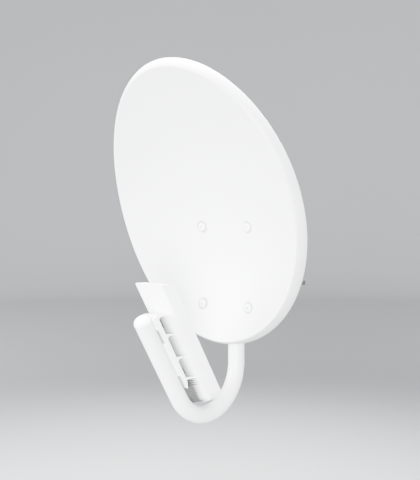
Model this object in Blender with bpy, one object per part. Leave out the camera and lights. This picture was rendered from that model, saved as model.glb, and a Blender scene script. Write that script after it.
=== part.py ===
# Wireless dish antenna: an offset dish on a J-shaped arm that carries its feed radio.
# Units are metres, +Z is up and the dish looks towards -Y.
# The origin is the centre of the mast bracket's flat rear face.

from math import acos, cos, pi, radians, sin, sqrt, tan

import bmesh
import bpy
from mathutils import Matrix, Vector

# Driving dimensions of the dish
DISH_HEIGHT = 0.400           # along the leaning face, between the reflecting edges
DISH_WIDTH = 0.322
DISH_LEAN = radians(18.3)     # top of the face leans forward by this
FOCAL_LENGTH = 0.130          # of the paraboloid, whose axis is level
DISH_SHEET = 0.0025
TOP_NARROWING = 0.037         # the outline is this much narrower at the top
RIM_CENTRE = Vector((0.0, -0.185, 0.040))
LIP_WIDTH = 0.009             # the rolled edge turns out by this
LIP_DEPTH = 0.0122            # and back by this

# Driving dimensions of the dish bolts
BOLT_SPACING_X = 0.0867
BOLT_SPACING_Z = 0.1148
BOLT_CENTRE_Z = -0.041
BOLT_RADIUS = 0.003
BOLT_HEAD_RADIUS = 0.0066
BOLT_HEAD_HEIGHT = 0.0022
PAD_RADIUS = 0.0078           # flat seat pressed into the dish under each head
PAD_DEPTH = 0.0060

# Driving dimensions of the arm
ARM_RADIUS = 0.0120
ARM_WALL = 0.0018
ARM_Y = -0.0846               # axis of the upright leg
ARM_TOP = 0.034
BEND_RADIUS = 0.0666
BEND_Z = -0.1838              # height of the bend's centre
ARM_LEAN = radians(31.3)      # the front leg leans forward by this
FRONT_LEG = 0.1290            # straight length past the bend
TIP_HEIGHT = 0.0095

# Driving dimensions of the feed, across the leg (x), behind its axis (r) and along it (s)
FEED_WIDTH = 0.050
FEED_BACK = 0.0346            # r of the face that looks at the arm
FEED_FRONT = 0.0533           # r of the face that looks at the dish
FEED_SEAM = 0.0465            # r of the joint between housing and cover
FEED_TOP = -0.0577            # height of its level top
FEED_BOTTOM = -0.2304
FEED_TOP_ROUND = 0.008
FEED_BOTTOM_ROUND = 0.012
FEED_END = 0.026              # radius of its round lower end, seen from behind
NECK_WAIST = 0.0130           # half width of the neck where it meets the cradle
NECK_ROOT = 0.0205            # half width of the neck where it meets the housing
NECK_START = 0.0163           # r where the neck begins
NECK_WEB = 0.0035             # half thickness between the pockets
NECK_LOW = -0.1912            # heights of the neck's level ends
NECK_HIGH = -0.0970
RIBS = (-0.1900, -0.1595, -0.1265)
POCKET_TOP = -0.1005
RIB_HALF = 0.0012
CRADLE_HALF = 0.0135
CRADLE_LIP = 0.0088           # r of the cradle's front lips
CRADLE_LOW = 0.0095
CRADLE_HIGH = 0.1300
CRADLE_NOTCHES = ((0.0, 0.0340), (0.0886, 0.1114))
CRADLE_END = ((0.0185, 0.0225), (0.0160, 0.0225), (0.0147, 0.0174), (0.0118, 0.0111), (0.0085, 0.0090),
              (0.0085, 0.0), (0.0185, 0.0))    # (r, s) of what its rounded lower end leaves out
PORT_HALF = 0.0185            # half width of the recess for the port cover
PORT_DEPTH = 0.0080
PORT_HIGH = -0.1918           # height of the recess's upper end
PORT_LOW = -0.2266            # height of the cover's lower end
PORT_START = 0.0175           # r of the cover's front edge
PORT_PITCH = 0.0031
PORT_GROOVES = 7 * (0.0008,) + 4 * (0.0025,)    # how deep they are, from the lowest up

# Driving dimensions of the brackets
STEEL = 0.0025
CHEEK_OUTSIDE = 0.0540        # half width over the dish bracket's cheeks
FLANGE_Y = -0.0995            # front of the flanges that carry the dish
CHANNEL_HALF = 0.0280         # half width over the channel that holds the arm
BRACKET_LOW = -0.118
BRACKET_HIGH = 0.038
STRAP_HEIGHTS = (-0.100, 0.016)
STRAP_HALF = 0.010
STRAP_BOLT_X = 0.0197
MAST_PLATE = 0.004
MAST_HALF_HEIGHT = 0.060
MAST_CHEEK = 0.003
MAST_SLOT_X = 0.030
MAST_SLOT_Z = 0.038
PIVOT_Y = -0.020
PIVOT_Z = -0.0665
LOCK_RISE = 0.082             # the lock bolts sit this far above the pivot
LUG_RADIUS = 0.0130
SLOT_HALF = 0.0043            # the arc slots in the cheeks, and how far they run
SLOT_BACK = 0.06              # behind and in front of the upright, in radians
SLOT_FORWARD = 0.30
PIVOT_END = 0.0770            # the pivot bolt's thread ends here
LOCK_END = 0.0700

GAP = 0.0003                  # clearance between neighbouring pieces
SECTORS = 96

WHITE_PAINT = ("white_paint", (0.86, 0.87, 0.88), 0.42, 0.0)
WHITE_PLASTIC = ("white_plastic", (0.88, 0.89, 0.90), 0.38, 0.0)
BLACK_RUBBER = ("black_rubber", (0.05, 0.05, 0.05), 0.7, 0.0)
ZINC = ("zinc_steel", (0.55, 0.56, 0.57), 0.35, 1.0)


def clear_scene():
    for old in list(bpy.data.objects):
        bpy.data.objects.remove(old, do_unlink=True)


def material(spec):
    name, colour, roughness, metallic = spec
    found = bpy.data.materials.get(name)
    if found:
        return found
    made = bpy.data.materials.new(name)
    made.use_nodes = True
    shader = made.node_tree.nodes["Principled BSDF"]
    shader.inputs["Base Color"].default_value = (*colour, 1.0)
    shader.inputs["Roughness"].default_value = roughness
    shader.inputs["Metallic"].default_value = metallic
    return made


def add_object(name, bm, finish, smooth=35):
    bmesh.ops.remove_doubles(bm, verts=bm.verts, dist=1e-6)
    bmesh.ops.recalc_face_normals(bm, faces=bm.faces)
    mesh = bpy.data.meshes.new(name)
    bm.to_mesh(mesh)
    bm.free()
    mesh.shade_smooth()
    mesh.set_sharp_from_angle(angle=radians(smooth))
    mesh.materials.append(material(finish))
    made = bpy.data.objects.new(name, mesh)
    bpy.context.scene.collection.objects.link(made)
    return made


def add_cutter(name, bm):
    made = add_object(name, bm, WHITE_PLASTIC)
    made.hide_render = True
    made.display_type = "WIRE"
    return made


def boolean(target, tool, operation="DIFFERENCE"):
    step = target.modifiers.new(tool.name, "BOOLEAN")
    step.operation = operation
    step.solver = "EXACT"
    step.object = tool


# Shapes that the pieces share

def arc(centre, radius, start, end, steps):
    turn = (end - start) / steps
    return [(centre[0] + radius * cos(start + turn * i), centre[1] + radius * sin(start + turn * i))
            for i in range(steps + 1)]


def add_prism(bm, corners, direction):
    face = bm.faces.new([bm.verts.new(corner) for corner in corners])
    grown = bmesh.ops.extrude_face_region(bm, geom=[face])["geom"]
    bmesh.ops.translate(bm, verts=[v for v in grown if isinstance(v, bmesh.types.BMVert)], vec=direction)


def prism(corners, direction):
    bm = bmesh.new()
    add_prism(bm, corners, direction)
    return bm


def add_box(bm, low, high):
    size = [b - a for a, b in zip(low, high)]
    middle = [(a + b) / 2 for a, b in zip(low, high)]
    bmesh.ops.create_cube(bm, size=1.0, matrix=Matrix.Translation(middle) @ Matrix.Diagonal((*size, 1.0)))


def add_rod(bm, centre, axis, radius, start, end, sides, radius_end=None):
    turn = Vector(axis).to_track_quat("Z", "Y").to_matrix().to_4x4()
    place = Matrix.Translation(Vector(centre) + Vector(axis) * (start + end) / 2) @ turn
    top = radius if radius_end is None else radius_end
    bmesh.ops.create_cone(bm, cap_ends=True, segments=sides, radius1=radius, radius2=top,
                          depth=end - start, matrix=place)


def turned(profile, sides, place):
    # A solid turned from (radius, height) points whose first and last lie on the axis
    bm = bmesh.new()
    points = [bm.verts.new((radius, 0.0, height)) for radius, height in profile]
    edges = [bm.edges.new(pair) for pair in zip(points, points[1:])]
    bmesh.ops.spin(bm, geom=points + edges, cent=(0, 0, 0), axis=(0, 0, 1), angle=2 * pi,
                   steps=sides, use_merge=True)
    bmesh.ops.remove_doubles(bm, verts=bm.verts, dist=1e-6)
    bmesh.ops.transform(bm, matrix=place, verts=bm.verts)
    return bm


def along(point, axis):
    # Frame whose +Z is the axis, at a point
    return Matrix.Translation(point) @ Vector(axis).to_track_quat("Z", "Y").to_matrix().to_4x4()


# The reflector: a paraboloid with a level axis, cut by a leaning oval

LENS = 1 / (4 * FOCAL_LENGTH)
HALF_HEIGHT = DISH_HEIGHT / 2
HALF_WIDTH = DISH_WIDTH / 2
VERTEX_Z = -tan(DISH_LEAN) / (2 * LENS)
VERTEX_Y = LENS * (HALF_HEIGHT * cos(DISH_LEAN) - VERTEX_Z) ** 2 - HALF_HEIGHT * sin(DISH_LEAN)


def surface_y(x, z):
    # The reflecting surface above a point of the mast bracket's frame
    return RIM_CENTRE.y + VERTEX_Y - LENS * (x * x + (z - RIM_CENTRE.z - VERTEX_Z) ** 2)


def reflector_depth(x, rise):
    # How far the surface lies behind the leaning face, at x and a rise along that face
    level = rise * cos(DISH_LEAN) - VERTEX_Z
    a = LENS * sin(DISH_LEAN) ** 2
    b = cos(DISH_LEAN) + 2 * LENS * sin(DISH_LEAN) * level
    c = LENS * (x * x + level * level) - rise * sin(DISH_LEAN) - VERTEX_Y
    return (sqrt(b * b - 4 * a * c) - b) / (2 * a)


def face_point(x, rise, back):
    # From the leaning face's own directions to the frame
    return RIM_CENTRE + Vector((x, back * cos(DISH_LEAN) - rise * sin(DISH_LEAN),
                                rise * cos(DISH_LEAN) + back * sin(DISH_LEAN)))


def outline(angle, share, grow):
    x = (HALF_WIDTH * share + grow) * cos(angle) * (1 - TOP_NARROWING * sin(angle))
    return x, (HALF_HEIGHT * share + grow) * sin(angle)


def dish_ring(share, lip_angle):
    ring = []
    for i in range(SECTORS):
        angle = 2 * pi * i / SECTORS
        x, rise = outline(angle, share, 0.0)
        back = reflector_depth(x, rise)
        if lip_angle > 0:
            x, rise = outline(angle, share, LIP_WIDTH * sin(lip_angle))
            back += LIP_DEPTH * (1 - cos(lip_angle))
        ring.append(face_point(x, rise, back))
    return ring


def bolt_places():
    for side in (-1, 1):
        for level in (1, -1):
            x = side * BOLT_SPACING_X / 2
            z = BOLT_CENTRE_Z + level * BOLT_SPACING_Z / 2
            yield Vector((x, surface_y(x, z), z))


def make_dish():
    bm = bmesh.new()
    shares = [(share, 0.0) for share in (0.14, 0.30, 0.46, 0.62, 0.76, 0.89, 1.0)]
    lips = [(1.0, pi / 2 * step / 4) for step in range(1, 5)]
    centre = bm.verts.new(face_point(0, 0, reflector_depth(0, 0)))
    last = None
    for share, lip_angle in shares + lips:
        ring = [bm.verts.new(point) for point in dish_ring(share, lip_angle)]
        for i in range(SECTORS):
            j = (i + 1) % SECTORS
            if last is None:
                bm.faces.new((centre, ring[i], ring[j]))
            else:
                bm.faces.new((last[i], ring[i], ring[j], last[j]))
        last = ring
    dish = add_object("dish_reflector", bm, WHITE_PAINT, smooth=50)
    skin = dish.modifiers.new("sheet", "SOLIDIFY")
    skin.thickness = DISH_SHEET
    skin.offset = -1.0 if dish.data.polygons[0].normal.y < 0 else 1.0
    room, pads, holes = bmesh.new(), bmesh.new(), bmesh.new()
    for place in bolt_places():
        add_rod(room, place, (0, 1, 0), PAD_RADIUS, -0.006, 0.0, 24)
        add_rod(pads, place, (0, 1, 0), PAD_RADIUS, 0.0, PAD_DEPTH, 24)
        add_rod(holes, place, (0, 1, 0), BOLT_RADIUS + GAP, -0.01, 0.02, 16)
    boolean(dish, add_cutter("pad_room", room))
    boolean(dish, add_cutter("pads", pads), "UNION")
    boolean(dish, add_cutter("bolt_holes", holes))


def make_dish_bolts():
    for number, place in enumerate(bolt_places(), start=1):
        seat = place.y - GAP
        back = FLANGE_Y + STEEL + GAP
        crown = BOLT_HEAD_HEIGHT
        profile = [(0, crown), (BOLT_HEAD_RADIUS * 0.62, crown * 0.93),
                   (BOLT_HEAD_RADIUS * 0.9, crown * 0.6), (BOLT_HEAD_RADIUS, 0.0008),
                   (BOLT_HEAD_RADIUS, 0), (BOLT_RADIUS, 0), (BOLT_RADIUS, seat - back - 0.009),
                   (0, seat - back - 0.009)]
        head = turned(profile, 20, along((place.x, seat, place.z), (0, -1, 0)))
        add_object(f"dish_bolt_{number}", head, WHITE_PAINT)
        spacer = bmesh.new()
        start = place.y + PAD_DEPTH + GAP
        add_rod(spacer, (place.x, 0, place.z), (0, 1, 0), PAD_RADIUS, start, FLANGE_Y - GAP, 20)
        ring = add_object(f"dish_spacer_{number}", spacer, BLACK_RUBBER)
        hole = bmesh.new()
        add_rod(hole, (place.x, 0, place.z), (0, 1, 0), BOLT_RADIUS + GAP, start - 0.01,
                FLANGE_Y + 0.01, 16)
        boolean(ring, add_cutter(f"spacer_hole_{number}", hole))
        make_nut(f"dish_nut_{number}", (place.x, back, place.z), (0, 1, 0), 0.0050, 0.0048, BOLT_RADIUS)


def make_nut(name, place, axis, flat_half, height, bore):
    # Hexagon nut that stands on its face at the place, with its hole along the axis
    bm = bmesh.new()
    add_rod(bm, place, axis, flat_half / cos(pi / 6), 0.0, height, 6)
    nut = add_object(name, bm, ZINC, smooth=20)
    hole = bmesh.new()
    add_rod(hole, place, axis, bore + GAP, -0.005, height + 0.005, 16)
    boolean(nut, add_cutter(name + "_hole", hole))


# The arm: upright leg, bend and leaning front leg

FRONT = Vector((0, -sin(ARM_LEAN), cos(ARM_LEAN)))
BEHIND = Vector((0, cos(ARM_LEAN), sin(ARM_LEAN)))
BEND_SWEEP = pi - ARM_LEAN
LEG_START = Vector((0, ARM_Y - BEND_RADIUS + BEND_RADIUS * cos(BEND_SWEEP),
                    BEND_Z - BEND_RADIUS * sin(BEND_SWEEP)))
LEG = Matrix.Translation(LEG_START) @ Matrix((
    (1, 0, 0, 0), (0, BEHIND.y, FRONT.y, 0), (0, BEHIND.z, FRONT.z, 0), (0, 0, 0, 1)))


def make_arm():
    stations = [(Vector((0, ARM_Y, ARM_TOP)), Vector((0, 0, -1)))]
    steps = 22
    for i in range(steps + 1):
        swing = BEND_SWEEP * i / steps
        place = Vector((0, ARM_Y - BEND_RADIUS * (1 - cos(swing)), BEND_Z - BEND_RADIUS * sin(swing)))
        stations.append((place, Vector((0, -sin(swing), -cos(swing)))))
    stations.append((LEG_START + FRONT * FRONT_LEG, FRONT))
    bm = bmesh.new()
    loops = []
    for radius in (ARM_RADIUS, ARM_RADIUS - ARM_WALL):
        rings = []
        for place, heading in stations:
            side = Vector((1, 0, 0))
            up = heading.cross(side)
            rings.append([bm.verts.new(place + radius * (side * cos(t) + up * sin(t)))
                          for t in [2 * pi * k / 20 for k in range(20)]])
        for first, second in zip(rings, rings[1:]):
            for k in range(20):
                j = (k + 1) % 20
                bm.faces.new((first[k], second[k], second[j], first[j]))
        loops.append(rings)
    for end in (0, -1):
        outer, inner = loops[0][end], loops[1][end]
        for k in range(20):
            j = (k + 1) % 20
            bm.faces.new((outer[k], inner[k], inner[j], outer[j]))
    add_object("arm_tube", bm, WHITE_PAINT)

    tip = [(0, TIP_HEIGHT)]
    for step in range(1, 6):
        turn = pi / 2 * step / 5
        tip.append((ARM_RADIUS * sin(turn), TIP_HEIGHT * cos(turn)))
    plug = ARM_RADIUS - ARM_WALL - GAP
    tip += [(plug, 0), (plug, -0.010), (0, -0.010)]
    place = LEG_START + FRONT * (FRONT_LEG + GAP)
    add_object("arm_tip_cap", turned(tip, 20, along(place, FRONT)), WHITE_PLASTIC)
    top = [(0, 0.003), (ARM_RADIUS - 0.001, 0.003), (ARM_RADIUS, 0.002), (ARM_RADIUS, 0),
           (plug, 0), (plug, -0.010), (0, -0.010)]
    add_object("arm_top_plug", turned(top, 20, along((0, ARM_Y, ARM_TOP + GAP), (0, 0, 1))), BLACK_RUBBER)


# The feed: a leaning slab with a ribbed neck that stands on a cradle on the arm

FEED_END_Z = FEED_BOTTOM - 0.0004 + FEED_END    # a narrow strip of the level bottom is left


def level_s(height, r):
    # Where a level plane crosses the line at a distance behind the arm
    return (height - LEG_START.z - r * BEHIND.z) / FRONT.z


def feed_side_outline():
    # Side view corners as (r, s), sharp towards the arm and round towards the dish
    def rounded(height, size, below):
        corner = Vector((FEED_FRONT, level_s(height, FEED_FRONT)))
        rise = level_s(height, FEED_BACK) - level_s(height, FEED_FRONT)
        level = Vector((FEED_BACK - FEED_FRONT, rise)).normalized()
        wall = Vector((0, 1 if below else -1))
        half = acos(level.dot(wall)) / 2
        reach = size / tan(half)
        centre = corner + (level + wall).normalized() * size / sin(half)
        start, end = corner + level * reach, corner + wall * reach
        spread = pi - 2 * half
        points = []
        for step in range(6):
            share = step / 5
            swing = start - centre
            turn = spread * share * (1 if below else -1)
            points.append((centre.x + swing.x * cos(turn) - swing.y * sin(turn),
                           centre.y + swing.x * sin(turn) + swing.y * cos(turn)))
        return points
    top = rounded(FEED_TOP, FEED_TOP_ROUND, False)
    bottom = rounded(FEED_BOTTOM, FEED_BOTTOM_ROUND, True)
    return ([(FEED_BACK, level_s(FEED_TOP, FEED_BACK))] + top + bottom[::-1]
            + [(FEED_BACK, level_s(FEED_BOTTOM, FEED_BACK))])


def feed_slab(near, far):
    # The part of the slab between two distances behind the arm
    half = FEED_WIDTH / 2
    bm = prism([(-half, r, s) for r, s in feed_side_outline()], (2 * half, 0, 0))
    edges = [e for e in bm.edges if abs(e.verts[0].co.x - e.verts[1].co.x) < 1e-6]
    bmesh.ops.bevel(bm, geom=edges, offset=0.0030, segments=3, profile=0.5, affect="EDGES", material=-1)
    for place, direction in ((near, -1), (far, 1)):
        cut = bmesh.ops.bisect_plane(bm, geom=bm.verts[:] + bm.edges[:] + bm.faces[:], dist=1e-7,
                                     plane_co=(0, place, 0), plane_no=(0, direction, 0), clear_outer=True)
        rim = [e for e in cut["geom_cut"] if isinstance(e, bmesh.types.BMEdge)]
        if rim:
            bmesh.ops.edgeloop_fill(bm, edges=rim)
    return bm


def neck_flank(half_waist, half_root, start, end, steps=8, groove=0.0):
    # Hollow curve from the waist by the cradle out to the root on the housing, and how deep a groove
    # cuts into it at the waist
    points = []
    for i in range(steps + 1):
        turn = pi / 2 * i / steps
        across = Vector((-(end - start) * cos(turn), (half_root - half_waist) * sin(turn))).normalized()
        points.append((half_root - (half_root - half_waist) * cos(turn) + groove * cos(turn) * across.x,
                       start + (end - start) * sin(turn) + groove * cos(turn) * across.y))
    return points


def level_prism(section, low, high):
    # Prism with a section in (x, r) that runs along the leg between two level ends
    return prism([(x, r, level_s(low, r)) for x, r in section], (0, 0, (high - low) / FRONT.z))


def make_housing():
    bm = feed_slab(FEED_BACK - 0.001, FEED_SEAM - GAP)
    bmesh.ops.transform(bm, matrix=LEG, verts=bm.verts)
    housing = add_object("feed_housing", bm, WHITE_PLASTIC)

    flank = neck_flank(NECK_WAIST, NECK_ROOT, NECK_START, FEED_BACK)
    deep = FEED_BACK + 0.004
    section = flank + [(NECK_ROOT, deep), (-NECK_ROOT, deep)] + [(-x, r) for x, r in flank[::-1]]
    neck = level_prism(section, NECK_LOW, NECK_HIGH)
    top = [e for e in neck.edges if all(v.co.z > level_s(NECK_HIGH, v.co.y) - 1e-6 for v in e.verts)
           and all(v.co.y < FEED_BACK - 1e-6 for v in e.verts)]
    bmesh.ops.bevel(neck, geom=top, offset=0.003, segments=3, profile=0.5, affect="EDGES", material=-1)
    bmesh.ops.transform(neck, matrix=LEG, verts=neck.verts)
    boolean(housing, add_cutter("neck", neck), "UNION")

    pockets = bmesh.new()
    levels = list(RIBS) + [POCKET_TOP + RIB_HALF]
    for low, high in zip(levels, levels[1:]):
        for side in (-1, 1):
            front, rear = NECK_START - 0.002, FEED_BACK - 0.0008
            clear = NECK_ROOT + 0.006
            corners = neck_flank(NECK_WEB, NECK_ROOT, front, rear, 10) + [(clear, rear), (clear, front)]
            corners = [(side * x, r, level_s(low + RIB_HALF, r)) for x, r in corners]
            add_prism(pockets, corners, (0, 0, (high - low - 2 * RIB_HALF) / FRONT.z))
    bmesh.ops.transform(pockets, matrix=LEG, verts=pockets.verts)
    boolean(housing, add_cutter("neck_pockets", pockets))

    front, rear = FEED_BACK - 0.01, FEED_BACK + PORT_DEPTH
    corners = [(-PORT_HALF, front), (PORT_HALF, front), (PORT_HALF, rear), (-PORT_HALF, rear)]
    recess = level_prism(corners, FEED_BOTTOM - 0.02, PORT_HIGH)
    bmesh.ops.transform(recess, matrix=LEG, verts=recess.verts)
    boolean(housing, add_cutter("port_recess", recess))

    cover = feed_slab(FEED_SEAM, FEED_FRONT + 0.001)
    bmesh.ops.transform(cover, matrix=LEG, verts=cover.verts)
    front_half = add_object("feed_cover", cover, WHITE_PLASTIC)

    clear, under = FEED_WIDTH / 2 + 0.005, FEED_BOTTOM - 0.01
    lower_end = arc((0, FEED_END_Z), FEED_END, -pi, 0, 28)
    lower_end += [(clear, FEED_END_Z), (clear, under), (-clear, under), (-clear, FEED_END_Z)]
    around = add_cutter("feed_lower_end", prism([(x, -0.22, z) for x, z in lower_end], (0, 0.10, 0)))
    boolean(housing, around)
    boolean(front_half, around)


def make_port_cover():
    # Sliding cover in the recess, which carries on the neck's hollow sides, with level grooves in them
    deep = FEED_BACK + PORT_DEPTH - GAP
    top = PORT_HIGH - GAP
    land = 0.3 * PORT_PITCH
    levels = [(PORT_LOW, 0.0)]
    for number, depth in enumerate(PORT_GROOVES):
        base = PORT_LOW + PORT_PITCH * number
        levels += [(base + land, 0.0), (base + land, depth), (base + PORT_PITCH, depth),
                   (base + PORT_PITCH, 0.0)]
    levels.append((top, 0.0))
    bm = bmesh.new()
    rings = []
    for height, depth in levels:
        half = min(PORT_HALF, sqrt(FEED_END ** 2 - (FEED_END_Z - height) ** 2)) - GAP
        flank = neck_flank(NECK_WEB, half, PORT_START, FEED_BACK, 8, depth)
        section = flank + [(half, deep), (-half, deep)] + [(-x, r) for x, r in flank[::-1]]
        rings.append([bm.verts.new((x, r, level_s(height, r))) for x, r in section])
    for lower, upper in zip(rings, rings[1:]):
        for i in range(len(lower)):
            j = (i + 1) % len(lower)
            bm.faces.new((lower[i], lower[j], upper[j], upper[i]))
    bm.faces.new(rings[0])
    bm.faces.new(rings[-1])
    bmesh.ops.transform(bm, matrix=LEG, verts=bm.verts)
    add_object("port_cover", bm, WHITE_PLASTIC, smooth=20)


def make_cradle():
    # Saddle behind the arm, whose two lips are cut back in two places
    seat = ARM_RADIUS + GAP
    lip_angle = acos(CRADLE_LIP / seat)
    hollow = arc((0, 0), seat, pi / 2 - lip_angle, pi / 2 + lip_angle, 12)
    section = [(CRADLE_HALF, CRADLE_LIP)] + hollow + [(-CRADLE_HALF, CRADLE_LIP),
                                                     (-CRADLE_HALF, NECK_START - GAP),
                                                     (CRADLE_HALF, NECK_START - GAP)]
    bm = prism([(x, r, CRADLE_LOW) for x, r in section], (0, 0, CRADLE_HIGH - CRADLE_LOW))
    bmesh.ops.transform(bm, matrix=LEG, verts=bm.verts)
    cradle = add_object("feed_cradle", bm, WHITE_PLASTIC)
    notches = bmesh.new()
    for low, high in CRADLE_NOTCHES:
        for side in (-1, 1):
            inner, outer = sorted((side * 0.0060, side * 0.0200))
            add_box(notches, (inner, 0.0, low), (outer, 0.0112, high))
    bmesh.ops.transform(notches, matrix=LEG, verts=notches.verts)
    boolean(cradle, add_cutter("cradle_notches", notches))
    end = prism([(-0.02, r, s) for r, s in CRADLE_END], (0.04, 0, 0))
    bmesh.ops.transform(end, matrix=LEG, verts=end.verts)
    boolean(cradle, add_cutter("cradle_end", end))


# The brackets behind the dish

def make_dish_bracket():
    # One bent sheet: cheeks, flanges towards the dish and a channel that holds the arm
    web = ARM_Y + ARM_RADIUS + GAP
    inner = CHEEK_OUTSIDE - STEEL
    channel = CHANNEL_HALF - STEEL
    back = -0.0070
    right = [(CHEEK_OUTSIDE, back), (CHEEK_OUTSIDE, FLANGE_Y), (channel, FLANGE_Y), (channel, web)]
    inside = [(CHANNEL_HALF, web + STEEL), (CHANNEL_HALF, FLANGE_Y + STEEL), (inner, FLANGE_Y + STEEL),
              (inner, back)]
    front_side = right + [(-x, y) for x, y in right[::-1]]
    rear_side = [(-x, y) for x, y in inside[::-1]] + inside
    section = front_side + rear_side
    bm = prism([(x, y, BRACKET_LOW) for x, y in section], (0, 0, BRACKET_HIGH - BRACKET_LOW))
    bracket = add_object("dish_bracket", bm, WHITE_PAINT)

    trims = bmesh.new()
    lug_low = arc((PIVOT_Y, PIVOT_Z), LUG_RADIUS, -0.35 * pi, -0.62 * pi, 6)
    lug_back = arc((PIVOT_Y, PIVOT_Z), LUG_RADIUS, 0.0, -0.35 * pi, 5)
    for side in (-1, 1):
        x = side * (CHEEK_OUTSIDE + 0.004)
        depth = (-side * (STEEL + 0.008), 0, 0)
        below = [(FLANGE_Y + 0.012, BRACKET_LOW - 0.01), (FLANGE_Y + 0.012, BRACKET_LOW + 0.002)]
        below += lug_low[::-1] + lug_back[::-1] + [(0.01, PIVOT_Z), (0.01, BRACKET_LOW - 0.01)]
        add_prism(trims, [(x, y, z) for y, z in below], depth)
    boolean(bracket, add_cutter("cheek_trims", trims))

    holes = bmesh.new()
    for place in bolt_places():
        add_rod(holes, (place.x, 0, place.z), (0, 1, 0), BOLT_RADIUS + GAP, FLANGE_Y - 0.005,
                FLANGE_Y + 0.008, 16)
    for height in STRAP_HEIGHTS:
        for side in (-1, 1):
            add_rod(holes, (side * STRAP_BOLT_X, 0, height), (0, 1, 0), 0.0025 + GAP, web - 0.005,
                    web + 0.008, 12)
    add_rod(holes, (0, PIVOT_Y, PIVOT_Z), (1, 0, 0), 0.004 + GAP, -0.07, 0.07, 20)
    boolean(bracket, add_cutter("bracket_holes", holes))
    low_end, high_end = pi / 2 - SLOT_BACK, pi / 2 + SLOT_FORWARD
    pivot = (PIVOT_Y, PIVOT_Z)
    ends = [(PIVOT_Y + LOCK_RISE * cos(turn), PIVOT_Z + LOCK_RISE * sin(turn))
            for turn in (low_end, high_end)]
    slot = (arc(pivot, LOCK_RISE + SLOT_HALF, low_end, high_end, 8)
            + arc(ends[1], SLOT_HALF, high_end, high_end + pi, 6)[1:-1]
            + arc(pivot, LOCK_RISE - SLOT_HALF, high_end, low_end, 8)
            + arc(ends[0], SLOT_HALF, low_end + pi, low_end + 2 * pi, 6)[1:-1])
    slots = prism([(-0.07, y, z) for y, z in slot], (0.14, 0, 0))
    boolean(bracket, add_cutter("tilt_slots", slots))


def make_straps():
    web = ARM_Y + ARM_RADIUS + GAP
    seat = ARM_RADIUS + GAP
    reach = CHANNEL_HALF - STEEL - 0.0008
    foot_back = web - GAP
    foot_front = foot_back - STEEL
    number = 0
    for label, height in zip(("lower", "upper"), STRAP_HEIGHTS):
        inside = arc((0, ARM_Y), seat, 0, -pi, 16)
        outside = arc((0, ARM_Y), seat + STEEL, -pi, 0, 16)
        section = ([(reach, foot_back), (seat, foot_back)] + inside
                   + [(-seat, foot_back), (-reach, foot_back), (-reach, foot_front)]
                   + [(-seat - STEEL, foot_front)] + outside
                   + [(seat + STEEL, foot_front), (reach, foot_front)])
        bm = prism([(x, y, height - STRAP_HALF) for x, y in section], (0, 0, 2 * STRAP_HALF))
        strap = add_object(f"arm_strap_{label}", bm, WHITE_PAINT)
        holes = bmesh.new()
        for side in (-1, 1):
            add_rod(holes, (side * STRAP_BOLT_X, 0, height), (0, 1, 0), 0.0025 + GAP, foot_front - 0.002,
                    foot_back + 0.002, 12)
        boolean(strap, add_cutter(f"strap_holes_{label}", holes))
        for side in (-1, 1):
            number += 1
            bolt = [(0, 0.0030), (0.0034, 0.0027), (0.0041, 0.0012), (0.0041, 0), (0.0025, 0),
                    (0.0025, -0.0145), (0, -0.0145)]
            place = (side * STRAP_BOLT_X, foot_front - GAP, height)
            add_object(f"strap_bolt_{number}", turned(bolt, 14, along(place, (0, -1, 0))), ZINC)
            make_nut(f"strap_nut_{number}", (side * STRAP_BOLT_X, web + STEEL + GAP, height), (0, 1, 0),
                     0.0040, 0.0040, 0.0025)


def make_mast_bracket():
    outside = CHEEK_OUTSIDE + GAP + MAST_CHEEK
    inside = CHEEK_OUTSIDE + GAP
    bm = bmesh.new()
    add_box(bm, (-outside, -MAST_PLATE, -MAST_HALF_HEIGHT), (outside, 0.0, MAST_HALF_HEIGHT))
    corners = [e for e in bm.edges if abs(e.verts[0].co.y - e.verts[1].co.y) > 0.001]
    bmesh.ops.bevel(bm, geom=corners, offset=0.006, segments=4, profile=0.5, affect="EDGES", material=-1)
    bracket = add_object("mast_bracket", bm, WHITE_PAINT)
    cheeks = bmesh.new()
    lock = (PIVOT_Y, PIVOT_Z + LOCK_RISE)
    side_view = ([(-0.001, PIVOT_Z + 0.016)] + arc((PIVOT_Y, PIVOT_Z), LUG_RADIUS, -0.25 * pi, -1.0 * pi, 12)
                 + arc(lock, LUG_RADIUS, pi, 0.45 * pi, 9) + [(-0.001, lock[1] + LUG_RADIUS)])
    for side in (-1, 1):
        add_prism(cheeks, [(side * inside, y, z) for y, z in side_view], (side * MAST_CHEEK, 0, 0))
    boolean(bracket, add_cutter("mast_cheeks", cheeks), "UNION")
    holes = bmesh.new()
    for height in (PIVOT_Z, PIVOT_Z + LOCK_RISE):
        add_rod(holes, (0, PIVOT_Y, height), (1, 0, 0), 0.004 + GAP, -0.07, 0.07, 20)
    for side in (-1, 1):
        for level in (-1, 1):
            x, z = side * MAST_SLOT_X, level * MAST_SLOT_Z
            ends = (arc((x + 0.005, z), 0.0045, -pi / 2, pi / 2, 6)
                    + arc((x - 0.005, z), 0.0045, pi / 2, 1.5 * pi, 6))
            add_prism(holes, [(a, -0.01, b) for a, b in ends], (0, 0.02, 0))
    boolean(bracket, add_cutter("mast_holes", holes))


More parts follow.
